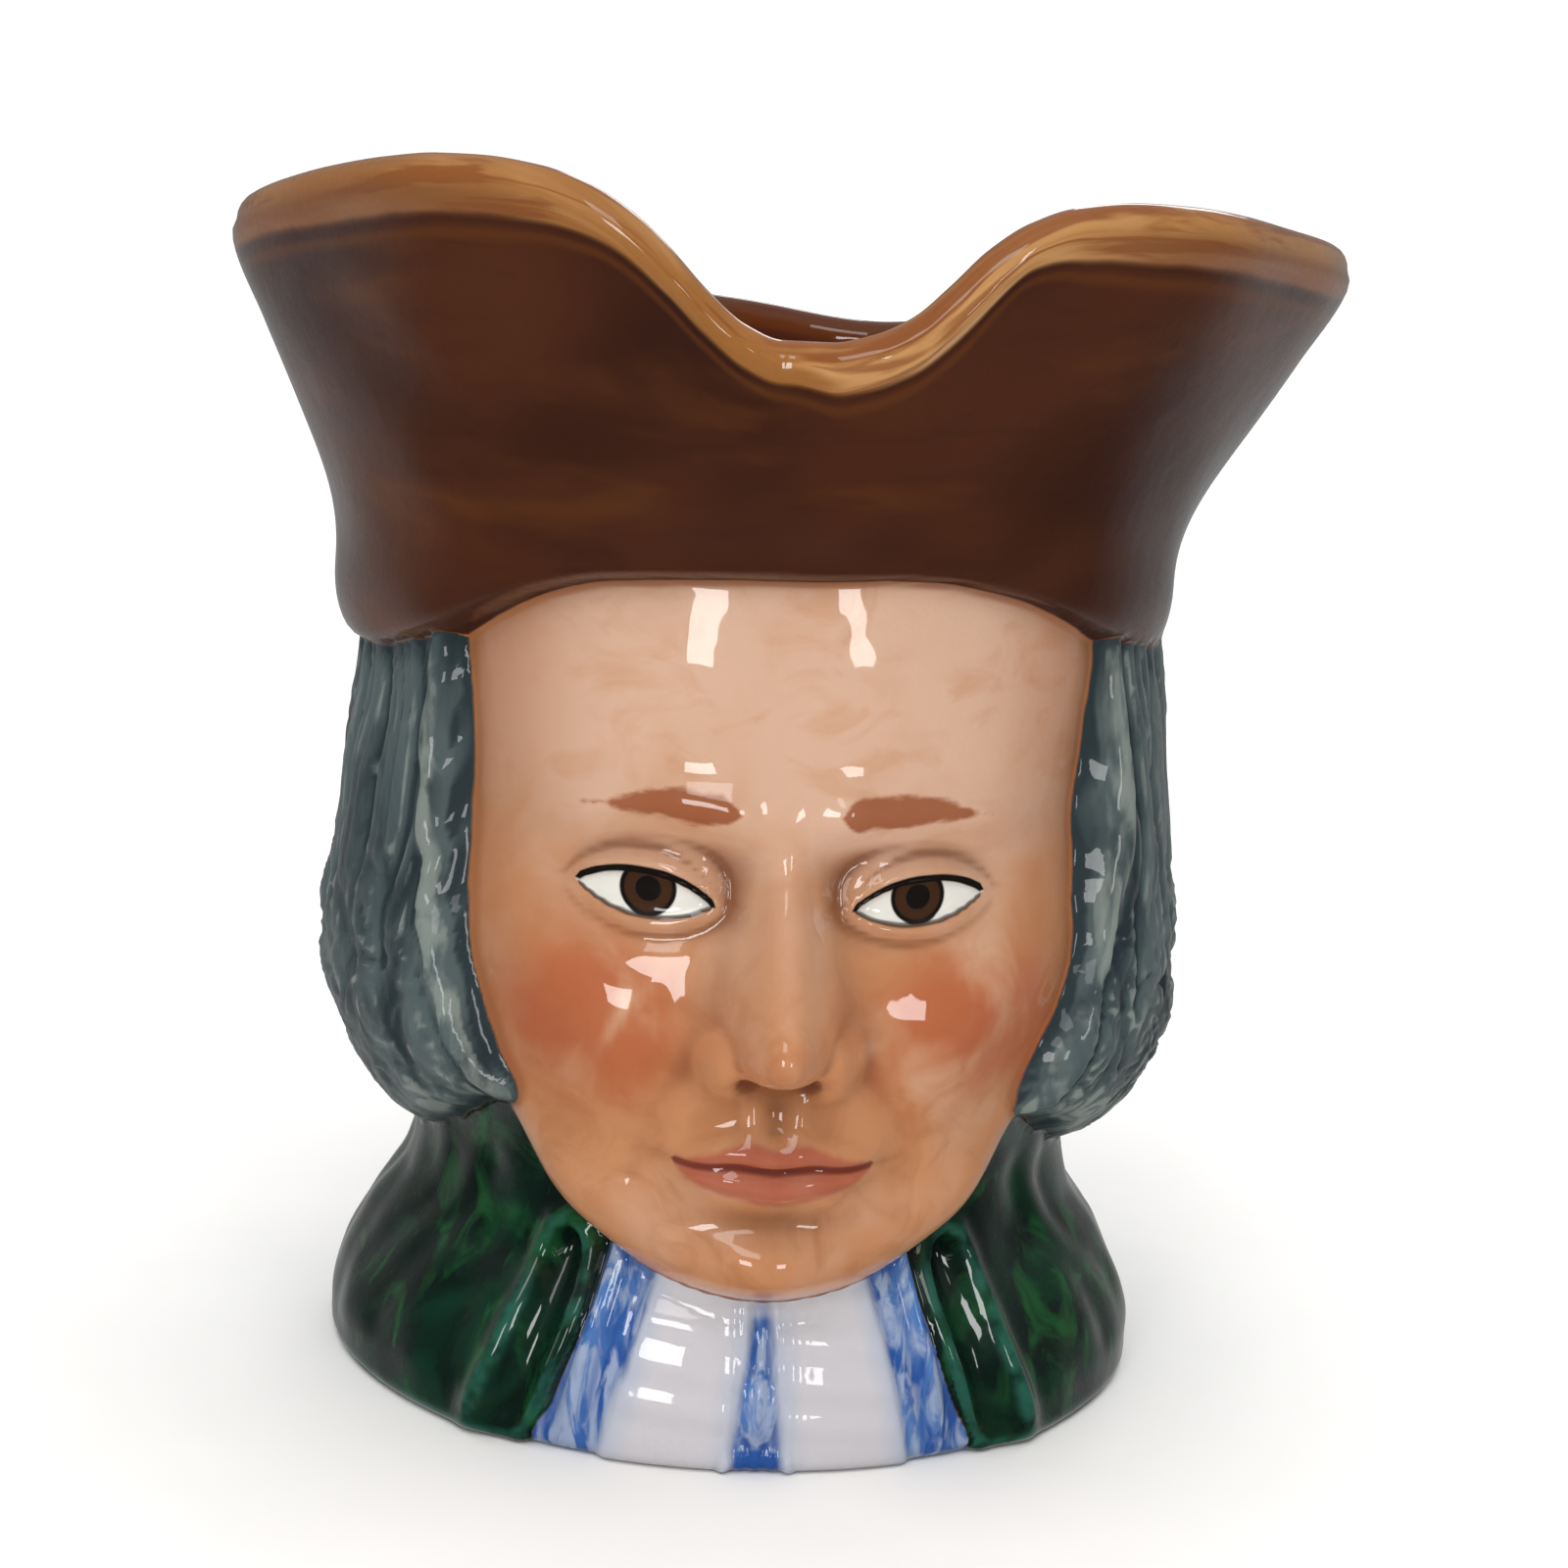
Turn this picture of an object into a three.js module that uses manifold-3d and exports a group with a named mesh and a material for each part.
// A toby jug in glazed earthenware: the head of a man in a cocked hat, which is the mouth of the jug, with
// side-hair in curls, a coat with turned-back lapels, a pair of neckcloth bands and a loop handle behind.
// It is slip-cast in one hollow piece and the handle is fired on, so it is one solid.
//
// Millimetres, +Z up, the origin at the centre of the flat foot, the face looking along -Y.
// A place on the form is an angle round the upright axis, 0 at the front and positive towards +X, and a
// height. Each layer of the form gives a radius for every angle and height, and the outermost one shows.
import * as THREE from "three";
import Module from "manifold-3d";

const { clamp, degToRad, lerp, smoothstep } = THREE.MathUtils;

// Driving dimensions
const CORNER_ANGLE = 89; // the side corners of the hat, in degrees from the front
const LIP_ANGLE = -1; // the pouring dip sits a little to the -X side, in degrees
const WALL = 5; // fired wall
const FLOOR = 6; // inside bottom above the table
const LIP = WALL / 2 + 0.6; // half the height of the rolled edge
const FOOT_ROUND = 2; // rounding where the wall meets the table
const GIRTH = 56; // mean radius, which turns an angle into a length round the form
const TRIANGLES = 9600; // what the solid is thinned to
const SOFTNESS = 1.1; // how far one layer melts into the next, under the glaze
const LINING_PITCH = 1.8; // spacing of the grid on which the inside is worked out
const LINING_TOP = 140;
const BINDING = 6.4; // width of the rolled binding away from the dip

// The brim all round, as [degrees from the front, height of its top]: two lobes with the pouring dip between
const RIM = [
  [-180, 141.6], [-165, 143.4], [-145, 146.2], [-125, 149.6], [-108, 153.4], [-95, 157], [-84, 160],
  [-73, 163.1], [-62, 165.9], [-51, 168.1], [-43, 169.3], [-36.5, 169.6], [-30, 169], [-25, 167.4],
  [-20.5, 164.6], [-16.5, 160.7], [-12.2, 155.5], [-8, 151.5], [-4, 149.8], [1, 149.8], [5.5, 151],
  [9.5, 153.4], [13, 157.2], [17, 162], [21, 165.2], [26, 167.1], [32.5, 167.7], [40, 167.2],
  [50, 165.7], [62, 163.4], [75, 160.9], [88, 158.2], [104, 154], [124, 148.4], [144, 142.6],
  [162, 139.4], [180, 141.6],
];
// The hat's lower edge, in the same way
const LOWER_EDGE = [
  [-180, 99.5], [-130, 99.7], [-100, 100.2], [-85, 100.8], [-74, 101.8], [-63, 104.3], [-53, 107.4],
  [-42.5, 112], [-33.5, 115.6], [-25.5, 117.4], [-14, 118.4], [0, 118.9], [11, 118.9], [19, 118.5],
  [28, 116.9], [33, 115.6], [39, 113.5], [45.5, 111], [51, 109.2], [57, 107.6], [64, 105.8],
  [74, 103.6], [85, 101.9], [100, 100.9], [130, 100.2], [180, 99.5],
];
const BINDING_WIDTH = [
  [-180, 6.4], [-38, 6.4], [-28, 5.4], [-20, 4.5], [-8, 4.4], [-3, 4.6], [3, 5.8], [15, 6.2],
  [21, 4.6], [28, 5.7], [37, 6.4], [180, 6.4],
];

// Upright profiles, as [height, radius]
const HEAD_PROFILE = [[14, 46], [21, 53], [27, 57], [40, 57.8], [54, 58], [88, 58], [104, 57.2], [122, 55.5]];
const HAIR_PROFILE = [
  [29, 44.8], [34, 48], [38, 51], [44, 55], [50, 57.3], [56, 58.4], [64, 58.7], [80, 57.2], [92, 55.7],
  [120, 52],
];
const COAT_PROFILE = [[0, 57], [5, 57], [10, 55.9], [18, 52.2], [26, 47.2], [33, 45.8], [50, 51.5]];
const BANDS_PROFILE = [[0, 56], [6, 56], [16, 54.8], [24, 52], [30, 49], [38, 45]];

// The nose's height over the face, as [height, relief]
const NOSE_LINE = [
  [51.5, 0], [53.4, 1.2], [55, 6.2], [57, 11.9], [59.6, 14.6], [62.5, 14.3],
  [67, 11.9], [73, 8.2], [79, 4.6], [83.5, 2.4], [88, 0.9], [93, 0],
];

// Handle
const HANDLE_PATH = [
  [55.6, 119.5], [60.5, 119.5], [69, 121.8], [83, 123.8], [95, 113], [97, 94], [91.3, 75], [81, 61],
  [71, 54.3], [62.5, 52.6], [56.3, 52.6],
];
const HANDLE_WIDTH = 15;
const HANDLE_THICKNESS = 10;
const HANDLE_FLARE = 1.38; // how much the handle spreads where it is luted on

// ---------------------------------------------------------------- helpers

const bell = (distance, width) => Math.exp(-((distance / width) ** 2));

// A rounded mound, of height 1 in the middle; x and z are distances from it over its own half-widths.
const mound = (x, z) => Math.exp(-(x * x + z * z));

// The larger of two radii, with the crease between them filled over SOFTNESS.
function softMax(a, b) {
  const near = Math.max(SOFTNESS - Math.abs(a - b), 0) / SOFTNESS;
  return Math.max(a, b) + (near * near * SOFTNESS) / 4;
}

// A smooth curve through [x, y] points, as a function of x (monotone cubic).
function profile(points) {
  const slope = points.slice(1).map(([x, y], i) => (y - points[i][1]) / (x - points[i][0]));
  const tangent = points.map((_, i) => {
    if (i === 0) return slope[0];
    if (i === points.length - 1) return slope[i - 1];
    return slope[i - 1] * slope[i] <= 0 ? 0 : (2 * slope[i - 1] * slope[i]) / (slope[i - 1] + slope[i]);
  });
  return (x) => {
    const last = points.length - 1;
    const at = clamp(x, points[0][0], points[last][0]);
    const i = clamp(points.findIndex((p) => p[0] >= at) - 1, 0, last - 1);
    const width = points[i + 1][0] - points[i][0];
    const t = (at - points[i][0]) / width;
    const rise = points[i + 1][1] - points[i][1];
    return (
      points[i][1] + rise * t * t * (3 - 2 * t) +
      width * t * (1 - t) * (tangent[i] * (1 - t) - tangent[i + 1] * t)
    );
  };
}

// How far a raised layer falls back at its edge: a quarter round of the layer's thickness, then a steep side.
// inside is the distance from the edge, positive within the layer.
function edgeFall(inside, thickness, round) {
  const t = clamp(1 - inside / round, 0, 1);
  return thickness * (1 - Math.sqrt(1 - t * t * 0.96)) + Math.max(-inside, 0) * 1.8;
}

// Distance from a place on the unrolled form to a drawn line of [along, height] points.
function lineDistance(line, along, height) {
  let nearest = Infinity;
  for (let i = 1; i < line.length; i++) {
    const [ax, az] = line[i - 1];
    const [bx, bz] = line[i];
    const forward = (along - ax) * (bx - ax) + (height - az) * (bz - az);
    const t = clamp(forward / ((bx - ax) ** 2 + (bz - az) ** 2), 0, 1);
    nearest = Math.min(nearest, Math.hypot(along - lerp(ax, bx, t), height - lerp(az, bz, t)));
  }
  return nearest;
}

// ---------------------------------------------------------------- hat

const turn = (theta) => Math.abs(theta) / degToRad(1); // degrees away from the front

// Degrees from the front, between -180 and 180.
const bearing = (theta) => THREE.MathUtils.euclideanModulo(theta / degToRad(1) + 180, 360) - 180;

const rim = profile(RIM);
const lowerEdge = profile(LOWER_EDGE);
const bindingWidth = profile(BINDING_WIDTH);
const rimHeight = (theta) => rim(bearing(theta));
const hatBand = (theta) => lowerEdge(bearing(theta));

// How much the binding is narrowed beside the dip.
const narrowing = (theta) => bindingWidth(bearing(theta)) / BINDING;

function rimRadius(theta) {
  const corner = bell(turn(theta) - CORNER_ANGLE, 20);
  const lobe = bell(turn(theta) - 45, 25);
  const dip = bell(bearing(theta) - LIP_ANGLE, 15);
  const plain = lerp(63, 71.5, (1 + Math.cos(theta)) / 2) + 1.7 * Math.sin(theta);
  return plain + 8 * corner + 2 * lobe - 3.2 * dip;
}

// The rolled binding round the edge of the brim, with a shallow groove below it that fades at the corners.
function binding(theta, height) {
  const below = (rimHeight(theta) - height) / narrowing(theta);
  const plain = smoothstep(turn(theta), 60, 84);
  const rolled = 1 - smoothstep(below, 5, 7.2 + 9 * plain) - 0.9 * clamp((5.6 - below) / 2.6, 0, 1) ** 2;
  return rolled - 0.3 * bell(below - 8.2, 1.3) * (1 - plain);
}

function brimRadius(theta, height) {
  const band = 57.6 + 1.4 * Math.cos(theta) - 1.6 * Math.sin(theta);
  const rise = (height - hatBand(theta)) / (rimHeight(theta) - hatBand(theta));
  return lerp(band, rimRadius(theta), smoothstep(rise, 0.18, 1));
}

function hatRadius(theta, height) {
  const round = 3.4 + 5.5 * smoothstep(turn(theta), 35, 75); // softer at the sides
  return brimRadius(theta, height) + binding(theta, height) - edgeFall(height - hatBand(theta), 3.6, round);
}

// ---------------------------------------------------------------- face

// One side of the face, so across is the distance from the middle line and everything is a mirrored pair.
// The three thirds of the face are 32 mm each, and it is five eyes wide.
const BROW = 86;
const EYE_LEVEL = 77;
const NOSE_BASE = 54;
const MOUTH = 43;
const EYE_WIDTH = 17.6;
const EYEBALL = 8.6;
const CHEEK_FOLD = [[9.6, 59.5], [12.5, 54.5], [15.6, 49.5], [17.4, 44], [17.6, 40.5]];

const noseLine = profile(NOSE_LINE);

function noseRelief(across, height) {
  const along = clamp((84 - height) / 24, 0, 1);
  const halfWidth = 4.2 + 2.2 * along;
  const ridge = noseLine(height) * Math.exp(-(Math.abs(across / halfWidth) ** 2.2));
  const flank = 1.8 * along * bell(across - 6.5, 4.2) * smoothstep(height, NOSE_BASE, NOSE_BASE + 7);
  const tip = mound(across / 4.4, (height - NOSE_BASE - 6) / 3.6);
  const wing = 7.4 * Math.exp(-(Math.hypot((across - 7) / 4.1, (height - NOSE_BASE - 3.9) / 4.7) ** 2.8));
  return softMax(ridge + flank + tip, wing) - 0.4;
}

function eyeRelief(across, height) {
  const x = across - EYE_WIDTH;
  const z = height - EYE_LEVEL;
  const socket = -5 * mound(x / 11.5, z / 7.5) - 2.2 * mound((x + 8.5) / 4.5, (z - 2) / 4.5);
  const ball = Math.sqrt(Math.max(EYEBALL ** 2 - (x * x) / 1.2 - z * z, 0)) - 8.9;
  const almond = 1 - (x / 8.6) ** 2;
  const opening = Math.min(3.6 * almond - z, z + 2.8 * almond);
  const lid = 1.3 * (1 - smoothstep(opening, -0.5, 0.7));
  return softMax(socket, ball + lid);
}

function mouthRelief(across, height) {
  const muzzle = 3.1 * mound(across / 15.5, (height - MOUTH - 1.5) / 10);
  const width = Math.exp(-((across / 12.6) ** 4));
  const upper = 1.7 * bell(height - MOUTH - 2, 2);
  const lower = 2.5 * bell(height - MOUTH + 2.6, 2.5);
  const parting = -1.5 * bell(height - MOUTH, 0.9);
  const under = -2.2 * mound(across / 11.5, (height - 35.2) / 2.9);
  return muzzle + width * (upper + lower + parting) + under;
}

function faceRelief(x, height) {
  const across = Math.abs(x);
  const browLine = BROW + 3.2 - 0.0095 * (across - 15) ** 2;
  const browEnds = smoothstep(across, 1.5, 8) * (1 - smoothstep(across, 22, 36));
  const brow = 2.5 * bell(height - browLine, 3.8) * browEnds + 0.9 * mound(across / 7, (height - 88) / 5.5);
  const temple = -2 * mound((across - 41) / 8, (height - 89) / 13);
  const cheekbone = 2.4 * mound((across - 30) / 9, (height - 67) / 7.5);
  const cheek = 2.5 * mound((across - 22) / 9, (height - 59) / 8.5);
  const hollow = -1.8 * mound((across - 32) / 7.5, (height - 46) / 9);
  const jaw = 1.2 * mound((across - 27) / 8, (height - 35) / 6);
  const chin = 4.2 * mound(across / 10.5, (height - 28.2) / 6.6);
  const fold = -0.95 * bell(lineDistance(CHEEK_FOLD, across, height), 2.1);
  return (
    brow + temple + cheekbone + cheek + hollow + jaw + chin + fold +
    noseRelief(across, height) + eyeRelief(across, height) + mouthRelief(across, height)
  );
}

const headProfile = profile(HEAD_PROFILE);

// The jaw line, above which the face shows: lowest at the chin and rising towards the ears.
const jawLine = (x) => 21.5 + 0.0155 * x * x;

function headRadius(theta, height) {
  const base = headProfile(height) - 3.4 * (turn(theta) / 45) ** 2.2;
  const aboveJaw = height - jawLine(GIRTH * Math.sin(theta)) - 40 * smoothstep(turn(theta), 62, 90);
  let radius = base;
  for (let step = 0; step < 3; step++) radius = base + faceRelief(radius * Math.sin(theta), height);
  return radius - edgeFall(aboveJaw, 7, 9);
}

// ---------------------------------------------------------------- hair

const hairProfile = profile(HAIR_PROFILE);
const hairEdge = profile(
  [[36, 31], [44, 35], [54, 40.5], [66, 45.5], [78, 49], [90, 50.5], [102, 50.5], [116, 48]],
);
const LOCK_PITCH = 10.5; // from one lock of hair to the next, round the form
const CURL_PITCH = 19; // from one rolled curl to the next, along the bottom of the hair
const CURL_RADIUS = 10;
const CURL_HEIGHT = 43.5;
const FIRST_CURL = 50;

function hairRelief(along, height) {
  const sway = 2.4 * Math.sin(height / 6 + along / 19);
  const lock = Math.abs(Math.cos((Math.PI * (along + sway)) / LOCK_PITCH)) ** 0.8;
  const column = Math.max(Math.round((along - FIRST_CURL) / CURL_PITCH), 0);
  const fromCurl = Math.hypot(along - FIRST_CURL - column * CURL_PITCH, height - CURL_HEIGHT) / CURL_RADIUS;
  const roll = fromCurl < 1 ? 2.4 * Math.sqrt(1 - fromCurl * fromCurl) - 1.1 * bell(fromCurl - 0.5, 0.16) : 0;
  const flow = smoothstep(height, 50, 58);
  return lerp(roll - 0.6, 1.3 * lock - 0.7, flow);
}

function hairRadius(theta, height) {
  const along = Math.abs(theta) * GIRTH;
  const inside = along - hairEdge(height);
  const hem = height - 32 - 13.5 * bell(along - 38, 22);
  return (
    hairProfile(height) + 0.8 + hairRelief(along, height) - edgeFall(inside, 4.2, 4.5) - edgeFall(hem, 5, 5)
  );
}

// ---------------------------------------------------------------- coat and neckcloth

const coatProfile = profile(COAT_PROFILE);
const bandsProfile = profile(BANDS_PROFILE);
const coatFront = profile([
  [0, 31.2], [4, 29.9], [10, 27.3], [17, 24.3], [22.5, 23], [29, 22.4], [33, 23.5], [38, 27], [43, 31.5],
  [48, 38],
]);
const LAPEL_FOLD = [
  [40.5, 0.5], [38.6, 5], [36.5, 12], [35.2, 19], [34.6, 25], [33.2, 28.3], [30.6, 29.6],
  [28.2, 28.4], [26.6, 25.4], [25.9, 21], [26.8, 14], [28.8, 4],
];
const LAPEL_HOLLOW = [[34, 0.5], [32.2, 8], [31, 15.5], [30.5, 21.5], [30.4, 25.4]];
const COAT_CREASES = [
  [[50, 33], [54, 24.5], [60.5, 15.5], [63.5, 9]],
  [[60.5, 31], [65, 22.5], [72, 14.5]],
  [[88, 29], [92, 20], [91, 11]],
  [[113, 29], [111, 19], [115, 11]],
  [[141, 29], [145, 19], [143, 10]],
  [[166, 29], [164, 18], [168, 9]],
];

function coatRelief(along, height) {
  const fold = 1.8 * bell(lineDistance(LAPEL_FOLD, along, height), 2);
  const hollow = -2.5 * bell(lineDistance(LAPEL_HOLLOW, along, height), 2.9);
  const sag = -0.8 * bell(along - 46, 6) * bell(height - 20, 10);
  const creases = COAT_CREASES.map((line) => -0.5 * bell(lineDistance(line, along, height), 2.6));
  return (
    (fold + hollow) * (0.3 + 0.7 * smoothstep(height, 0, 6)) +
    (sag + Math.min(...creases)) * smoothstep(height, 2, 9)
  );
}

function coatRadius(theta, height) {
  const along = Math.abs(theta) * GIRTH;
  const inside = along - coatFront(height);
  const collar = 35 + 14 * bell(along - 38, 22) - height;
  return (
    coatProfile(height) + 1.4 * bell(along - 30, 16) + coatRelief(along, height) -
    edgeFall(inside, 3, 2.6) - edgeFall(collar, 4, 4)
  );
}

function bandsRadius(theta, height) {
  const along = Math.abs(theta) * GIRTH;
  const top = 22.4 + 0.0225 * along * along;
  const seam = 3.5 - 0.115 * height;
  const tab = 1.25 * smoothstep(Math.min(along - seam, 21.2 - 0.235 * height - along), -0.9, 1.1);
  const neckRoll = 0.8 * bell(top - 0.7 - height, 1.3);
  const drop = 1.5 * Math.sqrt(clamp(1 - (along / 2.5) ** 2 - ((height - 8.6) / 5.2) ** 2, 0, 1));
  const beyond = Math.max(along - coatFront(height) + 0.3, 0); // hidden behind the coat from here
  return bandsProfile(height) + tab + neckRoll + drop - edgeFall(top + 3.5 - height, 4, 1.8) - 1.6 * beyond;
}

// ---------------------------------------------------------------- jug

function outerRadius(theta, height) {
  const layers = [headRadius, hairRadius, coatRadius, bandsRadius, hatRadius];
  const shown = layers.map((radius) => radius(theta, height)).reduce(softMax);
  const foot = clamp(1 - height / FOOT_ROUND, 0, 1);
  return shown - FOOT_ROUND * (1 - Math.sqrt(1 - foot * foot));
}

// A grid over the unrolled wall. merge makes each new value from the old one and its neighbours in a row.
function merged(grid, across, up, reach, merge) {
  const last = grid.length - 1;
  const offsets = Array.from({ length: 2 * reach + 1 }, (_, k) => k - reach);
  return grid.map((row, j) =>
    row.map((_, i) =>
      merge(offsets.map((k) => grid[clamp(j + k * up, 0, last)][(i + k * across + row.length) % row.length])),
    ),
  );
}

// The inside of the casting follows the outside without its detail: the least radius nearby, smoothed.
function lining() {
  const columns = Math.round((2 * Math.PI * GIRTH) / LINING_PITCH);
  const rows = Math.ceil(LINING_TOP / LINING_PITCH);
  const angleOf = (column) => (column / columns - 0.5) * 2 * Math.PI;
  let grid = Array.from({ length: rows }, (_, j) =>
    Array.from({ length: columns }, (_, i) => outerRadius(angleOf(i), j * LINING_PITCH)),
  );
  const weights = [-3, -2, -1, 0, 1, 2, 3].map((k) => bell(k, 1.9));
  const total = weights.reduce((a, b) => a + b);
  const smooth = (values) => values.reduce((sum, value, k) => sum + value * weights[k], 0) / total;
  const least = (values) => Math.min(...values);
  for (const [across, up] of [[1, 0], [0, 1]]) grid = merged(grid, across, up, 2, least);
  for (const [across, up] of [[1, 0], [0, 1]]) grid = merged(grid, across, up, 3, smooth);
  return (theta, height) => {
    const u = (theta / (2 * Math.PI) + 0.5) * columns;
    const v = clamp(height / LINING_PITCH, 0, rows - 1.001);
    const [i, j] = [Math.floor(u), Math.floor(v)];
    const along = (row) => lerp(row[(i + columns) % columns], row[(i + 1 + columns) % columns], u - i);
    return lerp(along(grid[j]), along(grid[j + 1]), v - j) - WALL + 0.5;
  };
}

const liningRadius = lining();

function innerRadius(theta, height) {
  const hat = brimRadius(theta, height) - WALL;
  const aboveFloor = clamp(1 - (height - FLOOR) / 9, 0, 1);
  const up = smoothstep(height - hatBand(theta), -2, 12);
  return lerp(liningRadius(theta, height), hat, up) - 9 * (1 - Math.sqrt(1 - aboveFloor * aboveFloor));
}

const placed = (theta, radius, height) =>
  new THREE.Vector3(radius * Math.sin(theta), -radius * Math.cos(theta), height);

// Angles round the form: close together over the face, wider over the hair and widest at the back.
function columnAngles() {
  const angles = [];
  for (let a = 0; a < 48; a += 0.95) angles.push(a);
  for (let a = 48; a < 110; a += 1.7) angles.push(a);
  for (let a = 111; a < 180; a += 2.6) angles.push(a);
  return [...angles.map((a) => -a).reverse().slice(0, -1), ...angles].map(degToRad);
}

// Heights of the rings below the hat band, as shares of the way up to it.
function bodyShares() {
  const shares = [0, 0.003, 0.01, 0.022];
  for (let i = 1; i <= 118; i++) shares.push(0.022 + (i / 118) * 0.978);
  return shares;
}

// Heights of the rings from the hat band up to the binding, as shares of the way.
const HAT_SHARES = [0.015, 0.035, 0.06, 0.09, 0.14];
for (let share = 0.2; share <= 1.001; share += 0.08) HAT_SHARES.push(share);

// Ring of the jug's wall at the same stage of its profile all round.
const ring = (angles, point) => angles.map((theta) => placed(theta, ...point(theta)));

function jugRings() {
  const angles = columnAngles();
  const rings = [[new THREE.Vector3(0, 0, 0)]];
  const underLip = (theta) => rimHeight(theta) - LIP;
  const underBinding = (theta) => rimHeight(theta) - 9 * narrowing(theta);

  for (const share of bodyShares()) {
    rings.push(ring(angles, (theta) => [outerRadius(theta, share * hatBand(theta)), share * hatBand(theta)]));
  }
  for (const share of HAT_SHARES) {
    const height = (theta) => lerp(hatBand(theta), underBinding(theta), share);
    rings.push(ring(angles, (theta) => [outerRadius(theta, height(theta)), height(theta)]));
  }
  for (const share of [0.13, 0.27, 0.4, 0.53, 0.66, 0.8, 0.92]) {
    const height = (theta) => lerp(underBinding(theta), underLip(theta), share);
    rings.push(ring(angles, (theta) => [outerRadius(theta, height(theta)), height(theta)]));
  }
  for (const roll of [22, 45, 67, 90, 112, 135, 158].map(degToRad)) {
    rings.push(
      ring(angles, (theta) => {
        const outside = outerRadius(theta, underLip(theta));
        const inside = innerRadius(theta, underLip(theta));
        return [
          lerp(inside, outside, (1 + Math.cos(roll)) / 2),
          underLip(theta) + LIP * Math.sin(roll),
        ];
      }),
    );
  }
  for (const share of [1, 0.8, 0.55, 0.3, 0.1]) {
    const height = (theta) => lerp(hatBand(theta), underLip(theta), share);
    rings.push(ring(angles, (theta) => [innerRadius(theta, height(theta)), height(theta)]));
  }
  for (const share of [0.93, 0.8, 0.66, 0.52, 0.4, 0.31, 0.24, 0.16, 0.08, 0.025, 0]) {
    const height = (theta) => lerp(FLOOR, hatBand(theta), share);
    rings.push(ring(angles, (theta) => [innerRadius(theta, height(theta)), height(theta)]));
  }
  rings.push([new THREE.Vector3(0, 0, FLOOR)]);
  return rings;
}

// The handle as rings along its path, in the plane x = 0 behind the head, with an egg-shaped section.
function handleRings() {
  const points = HANDLE_PATH.map(([y, z]) => new THREE.Vector3(0, y, z));
  const path = new THREE.CatmullRomCurve3(points, false, "centripetal");
  const steps = 22;
  const sides = 14;
  const rings = [[path.getPointAt(0)]];
  for (let i = 0; i <= steps; i++) {
    const t = i / steps;
    const centre = path.getPointAt(t);
    const tangent = path.getTangentAt(t);
    const outward = new THREE.Vector3(0, tangent.z, -tangent.y);
    const nearEnd = Math.min(t, 1 - t);
    const flare = 1 + (HANDLE_FLARE - 1) * bell(nearEnd, 0.07);
    const section = [];
    for (let k = 0; k < sides; k++) {
      const a = (k / sides) * 2 * Math.PI;
      section.push(
        centre
          .clone()
          .addScaledVector(new THREE.Vector3(1, 0, 0), (HANDLE_WIDTH / 2) * flare * Math.cos(a))
          .addScaledVector(outward, (HANDLE_THICKNESS / 2) * flare * Math.sin(a)),
      );
    }
    rings.push(section);
  }
  rings.push([path.getPointAt(1)]);
  return rings;
}

// A closed surface through rings of equal length, with a single point at each end.
function closedSurface(rings) {
  const positions = [];
  const starts = rings.map((points) => {
    const start = positions.length / 3;
    points.forEach((p) => positions.push(p.x, p.y, p.z));
    return start;
  });
  const index = [];
  for (let r = 1; r < rings.length; r++) {
    const below = rings[r - 1];
    const above = rings[r];
    const count = Math.max(below.length, above.length);
    for (let k = 0; k < count; k++) {
      const next = (k + 1) % count;
      const a = starts[r - 1] + (below.length > 1 ? k : 0);
      const b = starts[r - 1] + (below.length > 1 ? next : 0);
      const c = starts[r] + (above.length > 1 ? k : 0);
      const d = starts[r] + (above.length > 1 ? next : 0);
      if (a !== b) index.push(a, b, d);
      if (c !== d) index.push(a, d, c);
    }
  }
  const geometry = new THREE.BufferGeometry();
  geometry.setAttribute("position", new THREE.Float32BufferAttribute(positions, 3));
  geometry.setIndex(index);
  return geometry;
}

// ---------------------------------------------------------------- thinning

// The sum of squared distances from a point to the planes gathered in a symmetric 4 x 4 form.
function planeError(q, x, y, z) {
  return (
    q[0] * x * x + q[4] * y * y + q[7] * z * z + q[9] +
    2 * (q[1] * x * y + q[2] * x * z + q[5] * y * z + q[3] * x + q[6] * y + q[8] * z)
  );
}

// A queue that gives back the entry of least cost.
class LeastFirst {
  entries = [];

  add(entry) {
    const heap = this.entries;
    let i = heap.push(entry) - 1;
    while (i > 0 && heap[(i - 1) >> 1].cost > entry.cost) {
      heap[i] = heap[(i - 1) >> 1];
      i = (i - 1) >> 1;
    }
    heap[i] = entry;
  }

  take() {
    const heap = this.entries;
    const least = heap[0];
    const last = heap.pop();
    for (let i = 0; heap.length > 0; ) {
      let child = 2 * i + 1;
      if (child + 1 < heap.length && heap[child + 1].cost < heap[child].cost) child++;
      if (child >= heap.length || heap[child].cost >= last.cost) {
        heap[i] = last;
        break;
      }
      heap[i] = heap[child];
      i = child;
    }
    return least;
  }
}

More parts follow.
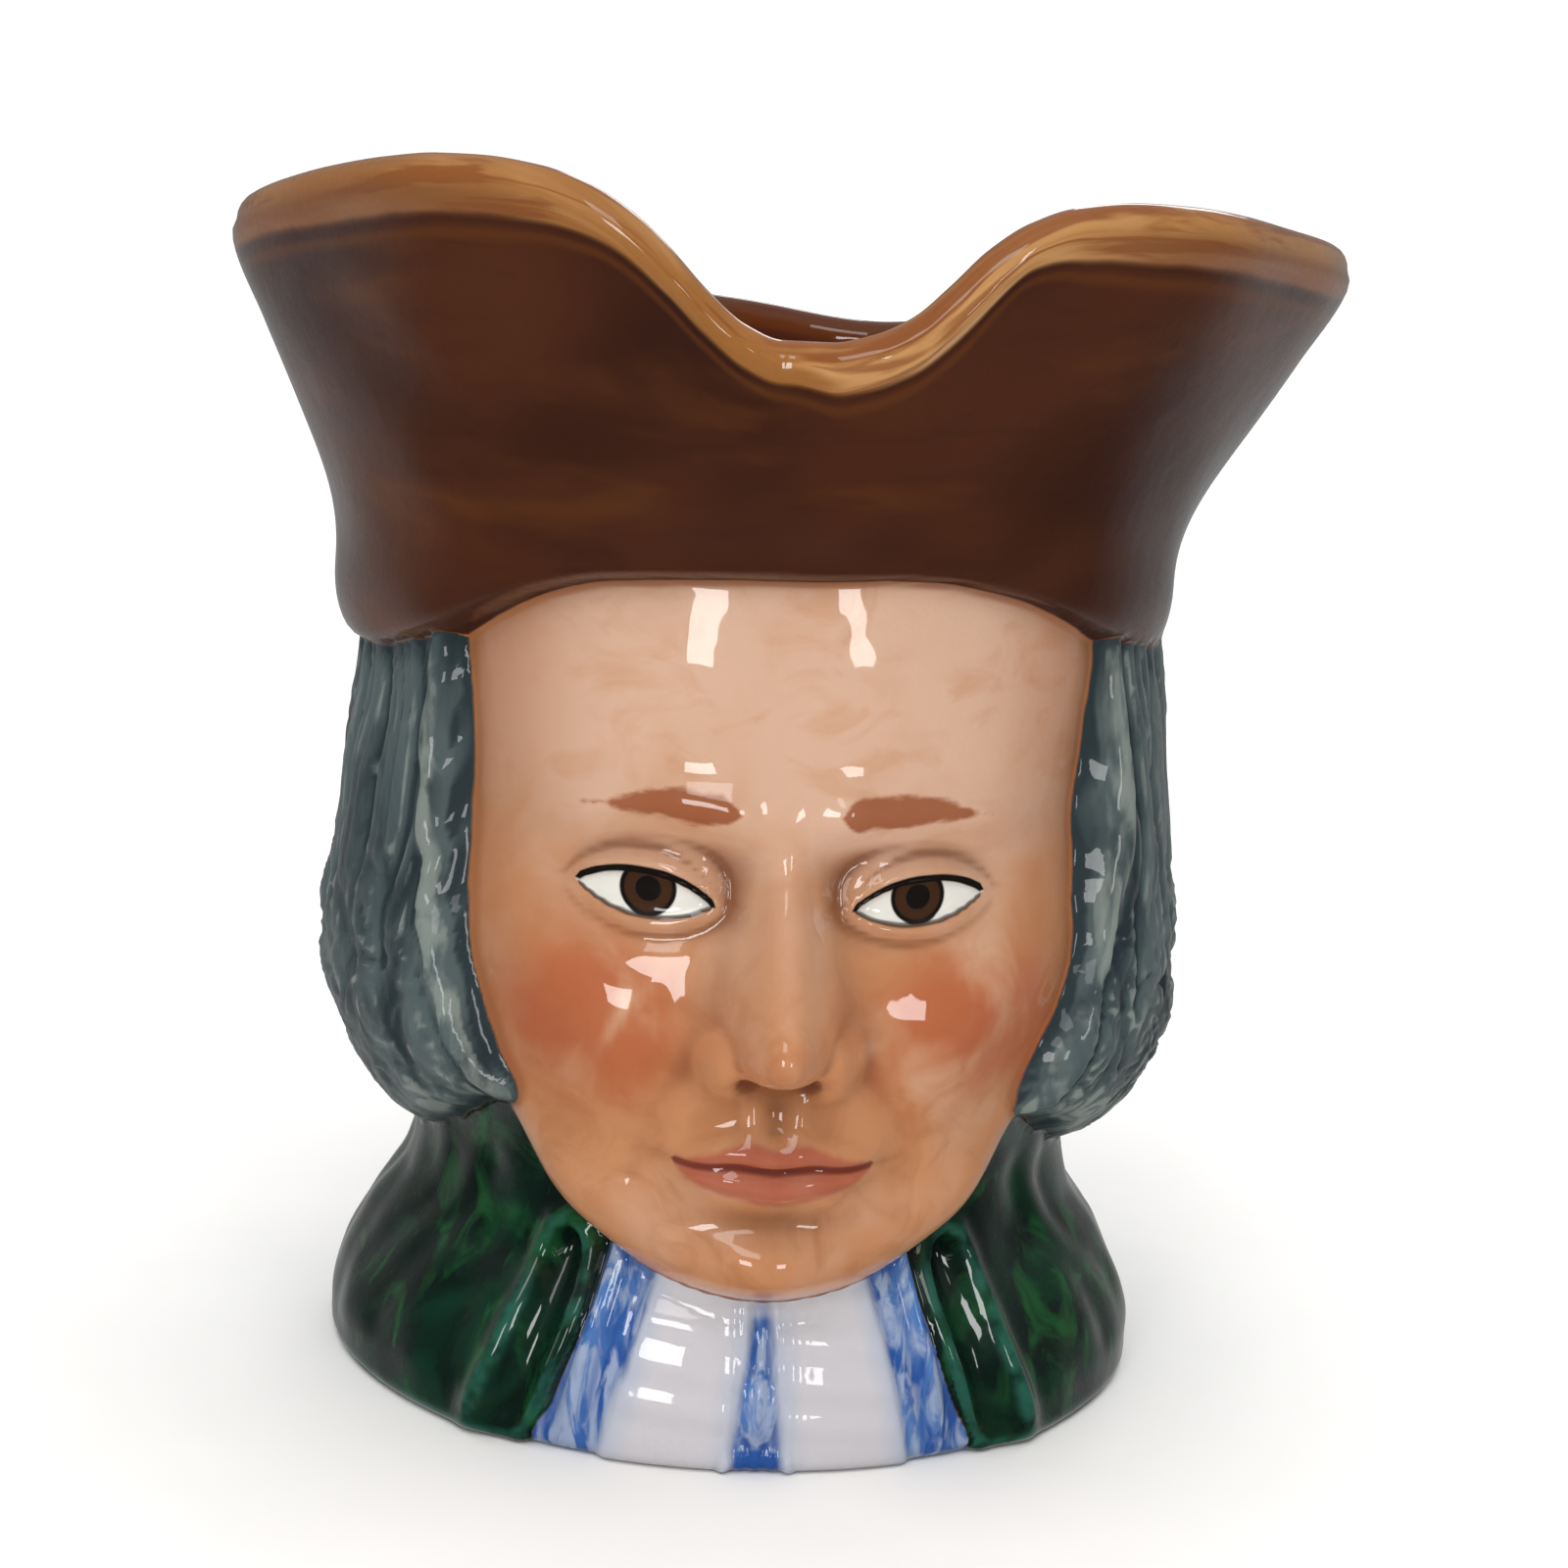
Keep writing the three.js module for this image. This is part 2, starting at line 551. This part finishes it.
// Merges the ends of the edges that matter least to the shape until only so many triangles are left.
function thinned(geometry, wanted) {
  const points = Float64Array.from(geometry.getAttribute("position").array);
  const triangles = Array.from({ length: geometry.index.count / 3 }, (_, f) =>
    [0, 1, 2].map((k) => geometry.index.getX(3 * f + k)),
  );
  const count = points.length / 3;
  const around = Array.from({ length: count }, () => new Set());
  const planes = Array.from({ length: count }, () => new Float64Array(10));
  const version = new Uint32Array(count);
  const point = (v) => new THREE.Vector3().fromArray(points, 3 * v);

  triangles.forEach((corners, f) => {
    const [a, b, c] = corners.map(point);
    const normal = b.sub(a).cross(c.sub(a));
    const area = normal.length();
    normal.normalize();
    const plane = [normal.x, normal.y, normal.z, -normal.dot(a)];
    for (const v of corners) {
      around[v].add(f);
      for (let i = 0, k = 0; i < 4; i++) {
        for (let j = i; j < 4; j++) planes[v][k++] += area * plane[i] * plane[j];
      }
    }
  });

  const neighbours = (v) => new Set([...around[v]].flatMap((f) => triangles[f]).filter((u) => u !== v));

  function edge(a, b) {
    const both = planes[a].map((value, k) => value + planes[b][k]);
    const choices = [0, 0.5, 1].map((t) => {
      const at = point(a).lerp(point(b), t);
      return { at, cost: planeError(both, at.x, at.y, at.z) + 2e-5 * point(a).distanceToSquared(point(b)) };
    });
    const best = choices.reduce((x, y) => (y.cost < x.cost ? y : x));
    return { ...best, a, b, stamp: version[a] + version[b] };
  }

  // Whether every triangle round v that doesn't hold the other end stays the right way up.
  function staysUpright(v, other, at) {
    return [...around[v]].every((f) => {
      if (triangles[f].includes(other)) return true;
      const before = triangles[f].map(point);
      const after = triangles[f].map((u) => (u === v ? at.clone() : point(u)));
      const longest = Math.max(...after.map((p, k) => p.distanceToSquared(after[(k + 1) % 3])));
      const [n, m] = [before, after].map(([p, q, r]) => q.sub(p).cross(r.sub(p)));
      return n.dot(m) > 0.25 * n.length() * m.length() && m.length() > 0.04 * longest;
    });
  }

  const queue = new LeastFirst();
  for (let v = 0; v < count; v++) for (const u of neighbours(v)) if (u > v) queue.add(edge(v, u));

  let left = triangles.length;
  while (left > wanted && queue.entries.length > 0) {
    const { a, b, at, stamp } = queue.take();
    if (!around[a].size || !around[b].size || stamp !== version[a] + version[b]) continue;
    const byB = neighbours(b);
    if ([...neighbours(a)].filter((u) => byB.has(u)).length !== 2) continue;
    if (!staysUpright(a, b, at) || !staysUpright(b, a, at)) continue;
    for (const f of around[b]) {
      if (triangles[f].includes(a)) {
        triangles[f].forEach((u) => around[u].delete(f));
        triangles[f] = null;
        left--;
      } else {
        triangles[f][triangles[f].indexOf(b)] = a;
        around[a].add(f);
      }
    }
    around[b].clear();
    at.toArray(points, 3 * a);
    planes[a].forEach((_, k) => (planes[a][k] += planes[b][k]));
    version[a] += 1 + version[b];
    for (const u of neighbours(a)) queue.add(edge(a, u));
  }

  const result = new THREE.BufferGeometry();
  const kept = new Map([...new Set(triangles.filter(Boolean).flat())].map((v, i) => [v, i]));
  const corners = [...kept.keys()].flatMap((v) => point(v).toArray());
  result.setAttribute("position", new THREE.Float32BufferAttribute(corners, 3));
  result.setIndex(triangles.filter(Boolean).flatMap((f) => f.map((v) => kept.get(v))));
  result.computeVertexNormals();
  return result;
}

// ---------------------------------------------------------------- assembly

const wasm = await Module();
wasm.setup();

function solid(geometry) {
  return new wasm.Manifold(
    new wasm.Mesh({
      numProp: 3,
      vertProperties: new Float32Array(geometry.getAttribute("position").array),
      triVerts: new Uint32Array(geometry.index.array),
    }),
  );
}

function geometryOf(manifold) {
  const mesh = manifold.getMesh();
  const geometry = new THREE.BufferGeometry();
  geometry.setAttribute("position", new THREE.BufferAttribute(mesh.vertProperties, 3));
  geometry.setIndex(new THREE.BufferAttribute(mesh.triVerts, 1));
  return geometry;
}

const glaze = new THREE.MeshStandardMaterial({ color: 0x5a3a28, roughness: 0.12, metalness: 0 });
const jugSolid = solid(closedSurface(jugRings())).add(solid(closedSurface(handleRings())));
const jug = new THREE.Mesh(thinned(geometryOf(jugSolid), TRIANGLES), glaze);
jug.name = "jug";

const tobyJug = new THREE.Group();
tobyJug.name = "toby_jug";
tobyJug.add(jug);

export default tobyJug;
